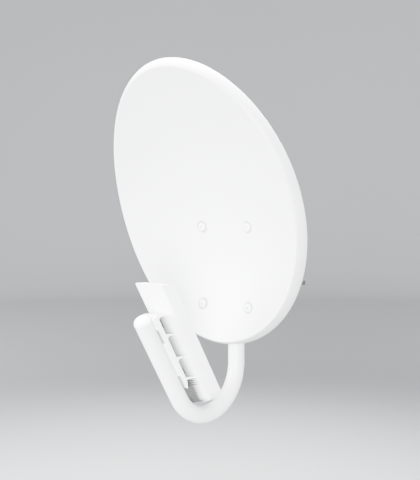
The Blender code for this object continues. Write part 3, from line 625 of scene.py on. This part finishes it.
def slabPart(near, far):
    # The slab between two distances behind the arm, with its cut edge rounded
    bm = makeSlab()
    for place, direction in ((near, -1), (far, 1)):
        if place is None:
            continue
        bmesh.ops.bisect_plane(bm, geom=bm.verts[:] + bm.edges[:] + bm.faces[:], dist=touch / 10,
                               plane_co=(0, place, 0), plane_no=(0, direction, 0), clear_outer=True)
        rim = [e for e in bm.edges if e.is_boundary]
        bmesh.ops.edgeloop_fill(bm, edges=rim)
        roundEdges(bm, rim, slab["seamRound"], 2)
    return bm


def flank(waist, root, start, end, steps, groove=0.0):
    # Hollow curve from the waist by the cradle out to the root on the housing, moved inwards by a
    # groove that is deepest at the waist
    points = []
    for i in range(steps + 1):
        turn = pi / 2 * i / steps
        across = Vector((-(end - start) * cos(turn), (root - waist) * sin(turn))).normalized()
        points.append((root - (root - waist) * cos(turn) + groove * cos(turn) * across.x,
                       start + (end - start) * sin(turn) + groove * cos(turn) * across.y))
    return points


def bothFlanks(side, half, deep):
    # A closed section from a flank and its mirror image, as wide as half at its back
    return side + [(half, deep), (-half, deep)] + [(-x, r) for x, r in side[::-1]]


def makeNeck():
    side = flank(neck["waist"], neck["root"], neck["start"], slab["back"], 20)
    section = bothFlanks(side, neck["root"], slab["back"] + neck["sink"])
    bm = levelPrism(section, neck["low"], neck["high"])
    top = [e for e in bm.edges if all(v.co.z > levelS(neck["high"], v.co.y) - touch
                                      and v.co.y < slab["back"] + touch for v in e.verts)]
    roundEdges(bm, top, neck["round"], 6)
    return bm


def makePocket(low, high, side):
    # One hollow between two ribs: the hollow flank where it lies within a rounded side view
    near, far = neck["start"] - past, slab["back"] - pocket["backLeft"]
    clear = neck["root"] + pocket["clear"]
    corners = flank(neck["web"], neck["root"], near, far, 24) + [(clear, far), (clear, near)]
    hollow = levelPrism([(side * x, r) for x, r in corners],
                        low - pocket["heightPast"], high + pocket["heightPast"])
    front, back = neck["start"] - pocket["frontPast"], far + past
    outline = [(front, levelS(low, front)), (back, levelS(low, back)), (back, levelS(high, back)),
               (front, levelS(high, front))]
    inner, outer = pocket["inner"], clear - pocket["outer"]
    limit = extruded([(side * inner, r, s) for r, s in outline], (side * (outer - inner), 0, 0))
    for corner, radius in ((outline[0], pocket["lowRound"]), (outline[3], pocket["highRound"])):
        roundEdges(limit, edgesAt(limit, corner), radius, 8, clamp=False)
    return combine(hollow, limit, "INTERSECT")


def paintHollowShade(bm, depth, deepestShade=1.0):
    # Painted shade in the hollows, darker the further each point lies inside the neck's outer flank
    layer = bm.verts.layers.float.new("shade")
    waist, root, start, back = neck["waist"], neck["root"], neck["start"], slab["back"]
    for vert in bm.verts:
        across, r = abs(vert.co.x), vert.co.y
        if r >= back or across > root:
            continue
        share = min(max((r - start) / (back - start), 0.0), 1.0)
        inside = root - (root - waist) * sqrt(1 - share * share) - across
        shade = deepestShade * min(max(inside / depth, 0.0), 1.0) ** neck["shadePower"]
        vert[layer] = min(shade, neck["shadeMost"])


def makeHousing():
    bm = combine(slabPart(None, slab["seam"] - gap), makeNeck(), "UNION")
    levels = neck["ribs"] + [pocket["top"] + neck["ribHalf"]]
    for low, high in zip(levels, levels[1:]):
        for side in (-1, 1):
            hollow = makePocket(low + neck["ribHalf"], high - neck["ribHalf"], side)
            bm = combine(bm, hollow, "DIFFERENCE")
    # black rubber bars in holes through the neck, standing in for the deep shade beside the cradle
    start, end = darkBar["start"], darkBar["end"]
    for number, (low, high) in enumerate(darkBar["spans"], start=1):
        hole, bar = (levelPrism([(-half, start), (half, start), (half, end), (-half, end)], low, high)
                     for half in (darkBar["holeHalf"], darkBar["half"]))
        bm = combine(bm, hole, "DIFFERENCE")
        addPiece(f"feed_dark_bar_{number}", moved(bar, legFrame), "black_rubber")
    # painted shade in the pockets between the ribs
    paintHollowShade(bm, neck["shadeDepth"])
    addPiece("feed_body", moved(bm, legFrame), "white_plastic", ["feed_housing"])
    shell = moved(slabPart(slab["seam"], None), legFrame)
    addPiece("feed_front_shell", shell, "white_plastic", ["feed_cover"])


# The sliding cover over the ports and the cradle on the arm

port = {"high": -0.1918, "low": -0.2290, "start": 0.0175, "backLeft": 0.00005, "sink": 0.002,
        "spread": 0.0040, "inside": 0.0005, "pitch": 0.0031, "grooves": 8 * (0.0008,) + 4 * (0.0028,),
        "grooveShape": ((0.25, 0.0), (0.32, 0.6), (0.42, 1.0), (0.85, 1.0), (0.95, 0.6), (1.0, 0.0)),
        "shadeDepth": 0.0085, "deepestShade": 1.25}
cradle = {"half": 0.0135, "lip": 0.0088, "low": 0.0095, "high": 0.1300, "edge": 0.0005,
          "notches": ((0.0, 0.0340), (0.0886, 0.1114)), "notchInner": 0.0060, "notchOuter": 0.0200,
          "notchBack": 0.0112, "shadeHalf": 0.0065, "shadeStart": 0.0104, "shadeEnd": 0.0114,
          "lowerEnd": ((0.0185, 0.0225), (0.0160, 0.0225), (0.0147, 0.0174), (0.0118, 0.0111),
                       (0.0085, 0.0090), (0.0085, 0.0), (0.0185, 0.0)), "cutHalf": 0.02}


def makePortCover():
    # Carries on the neck's hollow sides below the last rib, wider towards its lower end, with level
    # grooves in them
    levels = [(port["low"], 0.0)]
    for number, depth in enumerate(port["grooves"]):
        base = port["low"] + port["pitch"] * number
        levels += [(base + port["pitch"] * share, depth * rise) for share, rise in port["grooveShape"]]
    levels.append((port["high"], 0.0))
    bm = bmesh.new()
    rings = []
    for height, depth in levels:
        spread = port["spread"] * (port["high"] - height) / (port["high"] - port["low"])
        slabHalf = sqrt(slab["end"] ** 2 - (endZ - height) ** 2)
        half = min(neck["root"] + spread, slabHalf - port["inside"])
        side = flank(neck["web"], half, port["start"], slab["back"] - port["backLeft"], 20, depth)
        section = bothFlanks(side, half, slab["back"] + port["sink"])
        rings.append([bm.verts.new((x, r, levelS(height, r))) for x, r in section])
    for lower, upper in zip(rings, rings[1:]):
        for i in range(len(lower)):
            j = (i + 1) % len(lower)
            bm.faces.new((lower[i], lower[j], upper[j], upper[i]))
    bm.faces.new(rings[0])
    bm.faces.new(rings[-1])
    bmesh.ops.recalc_face_normals(bm, faces=bm.faces)
    # painted shade in the cover's hollow sides and grooves, strongest at the deepest
    paintHollowShade(bm, port["shadeDepth"], port["deepestShade"])
    addPiece("port_slide", moved(bm, legFrame), "white_plastic", ["port_cover"], sharpAngle=25)


def makeCradle():
    seat = arm["radius"] + gap
    reach = acos(cradle["lip"] / seat)
    hollow = arc((0, 0), seat, pi / 2 - reach, pi / 2 + reach, 24)
    back, half = neck["start"] - gap, cradle["half"]
    section = [(half, cradle["lip"])] + hollow + [(-half, cradle["lip"]), (-half, back), (half, back)]
    bm = extruded([(x, r, cradle["low"]) for x, r in section], (0, 0, cradle["high"] - cradle["low"]))
    for low, high in cradle["notches"]:
        for side in (-1, 1):
            inner, outer = sorted((side * cradle["notchInner"], side * cradle["notchOuter"]))
            notch = block((inner, 0.0, low), (outer, cradle["notchBack"], high))
            bm = combine(bm, notch, "DIFFERENCE")
    cut = cradle["cutHalf"]
    lowerEnd = extruded([(-cut, r, s) for r, s in cradle["lowerEnd"]], (2 * cut, 0, 0))
    bm = combine(bm, lowerEnd, "DIFFERENCE")
    layer = bm.verts.layers.float.new("shade")
    for vert in bm.verts:  # painted shade in the notches where they reach the tube
        if abs(vert.co.x) < cradle["shadeHalf"] and cradle["shadeStart"] < vert.co.y < cradle["shadeEnd"]:
            vert[layer] = 1.0
    soften(bm, cradle["edge"], 50)
    addPiece("feed_saddle", moved(bm, legFrame), "white_plastic", ["feed_cradle"])


# The brackets behind the dish

bracket = {"steel": 0.0025, "cheek": 0.0540, "flangeY": -0.0995, "channelHalf": 0.0280, "bend": 0.0030,
           "bendSteps": 5, "low": -0.118, "high": 0.038, "back": -0.0070, "edge": 0.0004,
           "drillFront": 0.005, "drillBack": 0.008}
tilt = {"pivot": (-0.020, -0.0665), "lockRise": 0.082, "lug": 0.0130, "slotHalf": 0.0043, "slotBack": 0.06,
        "slotForward": 0.30, "radius": 0.004, "pitch": 0.00125, "cutHalf": 0.07,
        "flats": 0.013, "headHeight": 0.0053, "headSink": 0.001, "nutHeight": 0.0065,
        "washer": 0.0016, "washerRadius": 0.008, "washerRound": 0.0003,
        "pivotEnd": 0.0770, "lockEnd": 0.0700}
trim = {"forward": 0.012, "rise": 0.002, "clear": 0.01, "outside": 0.004, "inside": 0.004,
        "lugTurn": 0.62 * pi}  # what is cut away below the pivot's lugs
strap = {"heights": {"lower": -0.100, "upper": 0.016}, "half": 0.010, "boltX": 0.0197, "endGap": 0.0008,
         "radius": 0.0025, "pitch": 0.0008, "length": 0.0145, "headSink": 0.0001,
         "headRadius": 0.0041, "headRise": 0.0018, "headRim": 0.0012, "nutFlats": 0.008, "nutHeight": 0.004}
mast = {"plate": 0.004, "half": 0.060, "corner": 0.006, "cheek": 0.003, "sink": 0.001, "footRise": 0.016,
        "slotX": 0.030, "slotZ": 0.038, "slotReach": 0.005, "slotRadius": 0.0045, "slotCut": 0.01}


def bentSheet(points, thickness, low, high):
    # A strip that follows (x, y) points, with rounded bends, standing from low to high
    bm = bmesh.new()
    line = [bm.verts.new((x, y, low)) for x, y in points]
    for pair in zip(line, line[1:]):
        bm.edges.new(pair)
    bmesh.ops.bevel(bm, geom=line[1:-1], offset=bracket["bend"], segments=bracket["bendSteps"], profile=0.5,
                    affect="VERTICES", clamp_overlap=True, material=-1)
    grown = bmesh.ops.extrude_edge_only(bm, edges=bm.edges[:])["geom"]
    bmesh.ops.translate(bm, verts=onlyVerts(grown), vec=(0, 0, high - low))
    bmesh.ops.recalc_face_normals(bm, faces=bm.faces)
    bmesh.ops.solidify(bm, geom=bm.faces[:], thickness=thickness)
    bmesh.ops.recalc_face_normals(bm, faces=bm.faces)
    return bm


def makeDishBracket():
    web = arm["y"] + arm["radius"] + gap
    steel, flangeY, low = bracket["steel"], bracket["flangeY"], bracket["low"]
    channel = bracket["channelHalf"] - steel
    right = [(bracket["cheek"], bracket["back"]), (bracket["cheek"], flangeY), (channel, flangeY),
             (channel, web)]
    bm = bentSheet(right + [(-x, y) for x, y in right[::-1]], steel, low, bracket["high"])
    pivotY, pivotZ = tilt["pivot"]
    front, clear = flangeY + trim["forward"], trim["clear"]
    below = ([(front, low - clear), (front, low + trim["rise"])]
             + arc(tilt["pivot"], tilt["lug"], -trim["lugTurn"], 0.0, 24)
             + [(clear, pivotZ), (clear, low - clear)])
    for side in (-1, 1):
        outer = side * (bracket["cheek"] + trim["outside"])
        tool = extruded([(outer, y, z) for y, z in below],
                        (-side * (steel + trim["outside"] + trim["inside"]), 0, 0))
        bm = combine(bm, tool, "DIFFERENCE")
    holes = [(bolts["radius"], place.x, place.z, flangeY) for place in boltPlaces()]
    holes += [(strap["radius"], side * strap["boltX"], height, web)
              for height in strap["heights"].values() for side in (-1, 1)]
    for radius, x, z, face in holes:
        bm = drilled(bm, radius + gap, face - bracket["drillFront"], face + bracket["drillBack"],
                     facing((x, 0, z), backAxis))
    cut = tilt["cutHalf"]
    bm = drilled(bm, tilt["radius"] + gap, -cut, cut, facing((0, pivotY, pivotZ), acrossAxis))
    start, end = pi / 2 - tilt["slotBack"], pi / 2 + tilt["slotForward"]
    rise, half = tilt["lockRise"], tilt["slotHalf"]
    ends = [(pivotY + rise * cos(turn), pivotZ + rise * sin(turn)) for turn in (start, end)]
    slot = (arc(tilt["pivot"], rise + half, start, end, 12) + arc(ends[1], half, end, end + pi, 12)[1:-1]
            + arc(tilt["pivot"], rise - half, end, start, 12)
            + arc(ends[0], half, start + pi, start + 2 * pi, 12)[1:-1])
    bm = combine(bm, extruded([(-cut, y, z) for y, z in slot], (2 * cut, 0, 0)), "DIFFERENCE")
    soften(bm, bracket["edge"], 60)
    addPiece("dish_bracket_sheet", bm, "white_paint", ["dish_bracket"])


def makeStraps():
    steel = bracket["steel"]
    web = arm["y"] + arm["radius"] + gap
    seat = arm["radius"] + gap
    reach = bracket["channelHalf"] - steel - strap["endGap"]
    foot = web - gap
    front = foot - steel
    top = front - gap
    number = 0
    for label, height in strap["heights"].items():
        inside = arc((0, arm["y"]), seat, 0, -pi, 32)
        outside = arc((0, arm["y"]), seat + steel, -pi, 0, 32)
        section = ([(reach, foot), (seat, foot)] + inside + [(-seat, foot), (-reach, foot),
                   (-reach, front), (-seat - steel, front)] + outside
                   + [(seat + steel, front), (reach, front)])
        half = strap["half"]
        bm = extruded([(x, y, height - half) for x, y in section], (0, 0, 2 * half))
        for side in (-1, 1):
            number += 1
            x = side * strap["boltX"]
            axisPlace = facing((x, 0, height), backAxis)
            bm = drilled(bm, strap["radius"] + gap, front - past, foot + past, axisPlace)
            outline = dome(strap["headRadius"], strap["headRise"], strap["headRim"], 6)
            head = turned(outline + [(strap["headRadius"], 0), (0, 0)], facing((x, top, height), -backAxis))
            shank = threaded(strap["radius"], strap["pitch"], top - strap["headSink"],
                             top + strap["length"], axisPlace)
            addPiece(f"strap_screw_{number}", merged(head, shank), "zinc_steel", [f"strap_bolt_{number}"])
            makeNut(f"strap_hex_nut_{number}", strap["nutFlats"], strap["nutHeight"], strap["radius"],
                    facing((x, web + steel + gap, height), backAxis), [f"strap_nut_{number}"])
        soften(bm, bracket["edge"], 50)
        addPiece(f"arm_clamp_{label}", bm, "white_paint", [f"arm_strap_{label}"])


def makeMastBracket():
    inside = bracket["cheek"] + gap
    outside = inside + mast["cheek"]
    half = mast["half"]
    bm = block((-outside, -mast["plate"], -half), (outside, 0, half))
    corners = [e for e in bm.edges if abs(e.verts[0].co.y - e.verts[1].co.y) > mast["plate"] / 2]
    roundEdges(bm, corners, mast["corner"], 10)
    pivotY, pivotZ = tilt["pivot"]
    lock = (pivotY, pivotZ + tilt["lockRise"])
    lug, foot = tilt["lug"], -mast["sink"]
    shape = ([(foot, pivotZ + mast["footRise"])] + arc(tilt["pivot"], lug, -0.25 * pi, -pi, 36)
             + arc(lock, lug, pi, 0.45 * pi, 30) + [(foot, lock[1] + lug)])
    for side in (-1, 1):
        cheek = extruded([(side * inside, y, z) for y, z in shape], (side * mast["cheek"], 0, 0))
        bm = combine(bm, cheek, "UNION")
    for height in (pivotZ, lock[1]):
        bm = drilled(bm, tilt["radius"] + gap, -tilt["cutHalf"], tilt["cutHalf"],
                     facing((0, pivotY, height), acrossAxis))
    reach, radius, cut = mast["slotReach"], mast["slotRadius"], mast["slotCut"]
    for side in (-1, 1):
        for level in (-1, 1):
            x, z = side * mast["slotX"], level * mast["slotZ"]
            slot = (arc((x + reach, z), radius, -pi / 2, pi / 2, 12)
                    + arc((x - reach, z), radius, pi / 2, 1.5 * pi, 12))
            bm = combine(bm, extruded([(a, -cut, b) for a, b in slot], (0, 2 * cut, 0)), "DIFFERENCE")
    soften(bm, bracket["edge"], 50)
    addPiece("mast_plate", bm, "white_paint", ["mast_bracket"])


def makeTiltBolts():
    pivotY, pivotZ = tilt["pivot"]
    seat = bracket["cheek"] + gap + mast["cheek"] + gap
    washer, wide, rounding = tilt["washer"], tilt["washerRadius"], tilt["washerRound"]
    bore = tilt["radius"] + gap
    outline = [(bore, 0), (wide - rounding, 0), (wide, rounding), (wide, washer - rounding),
               (wide - rounding, washer), (bore, washer)]
    for label, height in (("pivot", pivotZ), ("lock", pivotZ + tilt["lockRise"])):
        middle = Vector((0, pivotY, height))
        left = -(seat + washer + gap)
        head = hexShape(tilt["flats"], tilt["headHeight"], facing(middle + acrossAxis * left, -acrossAxis))
        shank = threaded(tilt["radius"], tilt["pitch"], left - tilt["headSink"], tilt[label + "End"],
                         facing(middle, acrossAxis))
        addPiece(f"{label}_hex_bolt", merged(head, shank), "zinc_steel", [f"{label}_bolt"])
        for side, name in ((-1, "left"), (1, "right")):
            sidePlace = facing(middle + acrossAxis * side * seat, acrossAxis * side)
            addPiece(f"{label}_ring_{name}", turned(outline, sidePlace, closed=True), "zinc_steel",
                     [f"{label}_washer_{name}"])
        makeNut(f"{label}_hex_nut", tilt["flats"], tilt["nutHeight"], tilt["radius"],
                facing(middle + acrossAxis * (seat + washer + gap), acrossAxis), [f"{label}_nut"])


makeDish()
makeDishBolts()
print("dish and its bolts made")
makeArm()
print("arm made")
makeHousing()
makePortCover()
makeCradle()
print("feed made")
makeDishBracket()
makeStraps()
makeMastBracket()
makeTiltBolts()
print("brackets and tilt bolts made")


# Floor, light and camera; the backdrop's tones go by the share of its reach, darker on the floor near the
# middle and lighter out on the cove: painted light and shade that evens out how brightly floor and walls
# are lit

stage = {"floorZ": -0.42, "floorRadius": 3.2, "coveRadius": 1.4, "wallTop": 3.0, "roughness": 0.9,
         "reach": 5.0, "tones": ((0.08, (0.128, 0.132, 0.138)), (0.30, (0.225, 0.232, 0.242)),
                                 (0.68, (0.35, 0.36, 0.375)), (1.0, (0.29, 0.30, 0.315)))}
lights = {"sky": 1.0, "aim": (0, -0.2, 0), "spread": 180}  # a lamp may have its own aim and spread
lamps = {"front": {"place": (-1.8, -2.3, 0.35), "size": 2.4, "power": 770},
         "right": {"place": (1.5, -2.2, 0.0), "size": 1.2, "power": 370},
         "low": {"place": (0.55, -0.85, -0.28), "size": 0.3, "power": 2.3,
                 "aim": (0, -0.19, -0.19), "spread": 45},
         "top": {"place": (-0.1, -0.1, 1.15), "size": 0.9, "power": 75, "spread": 60},
         "back": {"place": (1.7, 2.3, 0.9), "size": 2.0, "power": 90}}
camera = {"place": (0.7602, -0.9919, 0.0290), "turn": 41.86, "down": 1.55,  # degrees
          "lens": 59.78, "sensor": 36}  # mm


def makeStage():
    material = bpy.data.materials.new("paleBackdrop")
    material.use_nodes = True
    tree = material.node_tree
    shader = tree.nodes["Principled BSDF"]
    shader.inputs["Roughness"].default_value = stage["roughness"]
    place = addNode(tree, "ShaderNodeTexCoord")
    away = addNode(tree, "ShaderNodeVectorMath", {"operation": "LENGTH"})
    share = addNode(tree, "ShaderNodeMapRange", values={"From Max": stage["reach"]})
    tones = addNode(tree, "ShaderNodeValToRGB")
    ramp = tones.color_ramp.elements
    while len(ramp) < len(stage["tones"]):
        ramp.new(1.0)
    for element, (position, tone) in zip(ramp, stage["tones"]):
        element.position = position
        element.color = (*tone, 1)
    link = tree.links.new
    link(place.outputs["Object"], away.inputs[0])
    link(away.outputs["Value"], share.inputs["Value"])
    link(share.outputs["Result"], tones.inputs["Fac"])
    link(tones.outputs["Color"], shader.inputs["Base Color"])
    floorZ, radius, cove = stage["floorZ"], stage["floorRadius"], stage["coveRadius"]
    profile = ([(0, floorZ)] + arc((radius, floorZ + cove), cove, -pi / 2, 0, 16)
               + [(radius + cove, stage["wallTop"])])
    newObject("studio_cove", turned(profile, atOrigin, 96), material, 60)


def makeLights():
    world = bpy.data.worlds.new("paleSky")
    world.use_nodes = True
    sky = world.node_tree.nodes["Background"]
    sky.inputs["Color"].default_value = (1, 1, 1, 1)
    sky.inputs["Strength"].default_value = lights["sky"]
    bpy.context.scene.world = world
    for name, own in lamps.items():
        lamp = bpy.data.lights.new(name, "AREA")
        lamp.energy = own["power"]
        lamp.size = own["size"]
        lamp.spread = radians(own.get("spread", lights["spread"]))
        holder = bpy.data.objects.new(name, lamp)
        bpy.context.scene.collection.objects.link(holder)
        holder.location = own["place"]
        aim = Vector(own.get("aim", lights["aim"])) - Vector(own["place"])
        holder.rotation_euler = aim.to_track_quat("-Z", "Y").to_euler()


def makeCamera():
    lens = bpy.data.cameras.new("camera")
    lens.lens = camera["lens"]
    lens.sensor_width = camera["sensor"]
    holder = bpy.data.objects.new("camera", lens)
    bpy.context.scene.collection.objects.link(holder)
    turn, down = radians(camera["turn"]), radians(camera["down"])
    forward = Vector((-sin(turn) * cos(down), cos(turn) * cos(down), -sin(down)))
    holder.location = camera["place"]
    holder.rotation_euler = forward.to_track_quat("-Z", "Y").to_euler()
    bpy.context.scene.camera = holder


makeStage()
makeLights()
makeCamera()
print("stage, lights and camera made")
